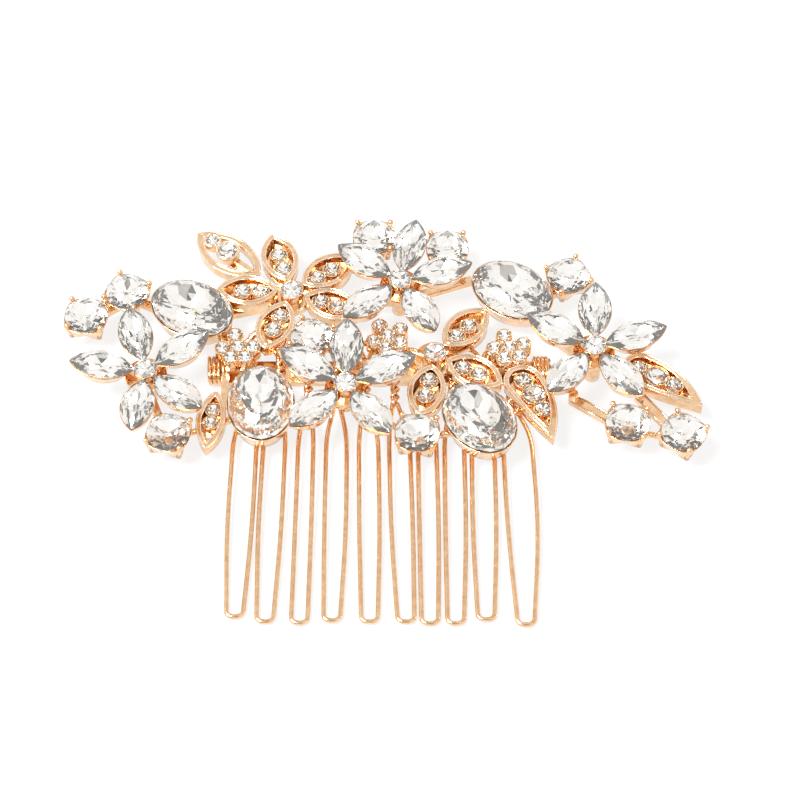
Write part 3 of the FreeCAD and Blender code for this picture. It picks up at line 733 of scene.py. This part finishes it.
# Settings that touch or nearly touch each other.
BRIDGES = [
    ("round_setting_01", "round_setting_02"),
    ("round_setting_02", "oval_setting_left"),
    ("round_setting_03", "leaf_lower_left"),
    ("leaf_lower_left", "oval_setting_lower_left"),
    ("cluster_setting_left", "oval_setting_left"),
    ("cluster_setting_left", "leaf_flower"),
    ("cluster_setting_left", "oval_setting_lower_left"),
    ("cluster_setting_middle", "leaf_spray"),
    ("cluster_setting_middle", "round_setting_04"),
    ("round_setting_07", "oval_setting_lower_right"),
    ("round_setting_07", "flower_setting_middle"),
    ("oval_setting_lower_right", "leaf_lower_right"),
    ("oval_setting_lower_right", "leaf_spray"),
    ("round_setting_09", "round_setting_10"),
    ("round_setting_08", "oval_setting_upper_right"),
    ("cluster_setting_right", "leaf_lower_right"),
    ("cluster_setting_right", "leaf_spray"),
    ("round_setting_03", "flower_setting_left"),
]


def make_bridges():
    """Short solder bridges with grain beads where neighbouring settings touch."""
    bridges = Shape()
    for one, other in BRIDGES:
        start = centre_of(one)
        end = centre_of(other)
        start.z = end.z = BRIDGE_LEVEL
        bridges.tube([start, end], BRIDGE_RADIUS)
        beads = int((end - start).length / GRAIN_PITCH)
        for bead in range(beads):
            spot = start.lerp(end, (bead + 0.5) / beads)
            spot.x += random.uniform(-GRAIN_SPREAD, GRAIN_SPREAD)
            spot.y += random.uniform(-GRAIN_SPREAD, GRAIN_SPREAD)
            spot.z += GRAIN_RISE
            bridges.ball(spot, random.uniform(*GRAIN_RADII), 8, 6)
    bridges.piece("grain_bridges", METAL, "rose_gold")


make_bridges()

# ------------------------------------------------------------ floor, light, camera

CAMERA_ELEVATION = math.radians(55)
CAMERA_DISTANCE = 0.4
CAMERA_TARGET = Vector((0.0031, -0.0021, 0.004))
FRONT = Vector((0, -math.cos(CAMERA_ELEVATION), math.sin(CAMERA_ELEVATION)))
SENSOR_WIDTH = 36
LENS = 112.5
FLOOR_GAP = 0.0002
FLOOR_SIZE = 4.0
SPOT_SCALE = 3.0


def make_floor():
    location = (0, 0, cad_box[0].z - FLOOR_GAP)
    bpy.ops.mesh.primitive_plane_add(size=FLOOR_SIZE, location=location)
    floor = bpy.context.object
    floor.name = "floor"
    material, tree, shader = new_material("floor_white")
    shader.inputs["Base Color"].default_value = (0.15, 0.15, 0.15, 1)
    shader.inputs["Roughness"].default_value = 0.9
    shader.inputs["Emission Color"].default_value = (1, 1, 1, 1)
    shader.inputs["Emission Strength"].default_value = 0.80
    floor.data.materials.append(material)


def dark_spots(tree, direction):
    """A studio's dark gaps between white panels, for the stones to reflect."""
    spots = tree.nodes.new("ShaderNodeTexVoronoi")
    spots.inputs["Scale"].default_value = SPOT_SCALE
    ramp = tree.nodes.new("ShaderNodeValToRGB")
    ramp.color_ramp.elements[0].position = 0.26
    ramp.color_ramp.elements[0].color = (0.16, 0.15, 0.14, 1)
    ramp.color_ramp.elements[1].position = 0.34
    tree.links.new(direction, spots.inputs["Vector"])
    tree.links.new(spots.outputs["Distance"], ramp.inputs["Fac"])
    return ramp.outputs["Color"]


def dark_front(tree, direction):
    """The dim place in front of the comb where a viewer stands."""
    front = tree.nodes.new("ShaderNodeVectorMath")
    front.operation = "DISTANCE"
    front.inputs[1].default_value = FRONT
    ramp = tree.nodes.new("ShaderNodeValToRGB")
    ramp.color_ramp.elements[0].position = 0.22
    ramp.color_ramp.elements[0].color = (0.5, 0.495, 0.48, 1)
    ramp.color_ramp.elements[1].position = 0.34
    tree.links.new(direction, front.inputs[0])
    tree.links.new(front.outputs["Value"], ramp.inputs["Fac"])
    return ramp.outputs["Color"]


def make_world():
    world = bpy.data.worlds.new("studio")
    scene.world = world
    world.use_nodes = True
    tree = world.node_tree
    coords = tree.nodes.new("ShaderNodeTexCoord")
    direction = coords.outputs["Generated"]
    product = tree.nodes.new("ShaderNodeMix")
    product.data_type = "RGBA"
    product.blend_type = "MULTIPLY"
    factor, first, second = (product.inputs[index] for index in (0, 6, 7))
    factor.default_value = 1.0
    tree.links.new(dark_spots(tree, direction), first)
    tree.links.new(dark_front(tree, direction), second)
    tree.links.new(product.outputs[2], tree.nodes["Background"].inputs["Color"])


def add_area(name, location, size, power, target):
    light = bpy.data.lights.new(name, "AREA")
    light.shape = "SQUARE"
    light.size = size
    light.energy = power
    lamp = bpy.data.objects.new(name, light)
    scene.collection.objects.link(lamp)
    lamp.location = location
    lamp.rotation_euler = (Vector(target) - Vector(location)).to_track_quat("-Z", "Y").to_euler()


def make_camera():
    data = bpy.data.cameras.new("camera")
    camera = bpy.data.objects.new("camera", data)
    scene.collection.objects.link(camera)
    camera.location = CAMERA_TARGET + FRONT * CAMERA_DISTANCE
    camera.rotation_euler = (-FRONT).to_track_quat("-Z", "Y").to_euler()
    data.sensor_width = SENSOR_WIDTH
    data.lens = LENS
    data.shift_y = -0.035
    data.clip_start = 0.01
    data.clip_end = 20
    scene.camera = camera


make_floor()
make_world()
add_area("key", (-0.25, -0.1, 0.5), 0.25, 6.0, (0, 0, 0))
make_camera()
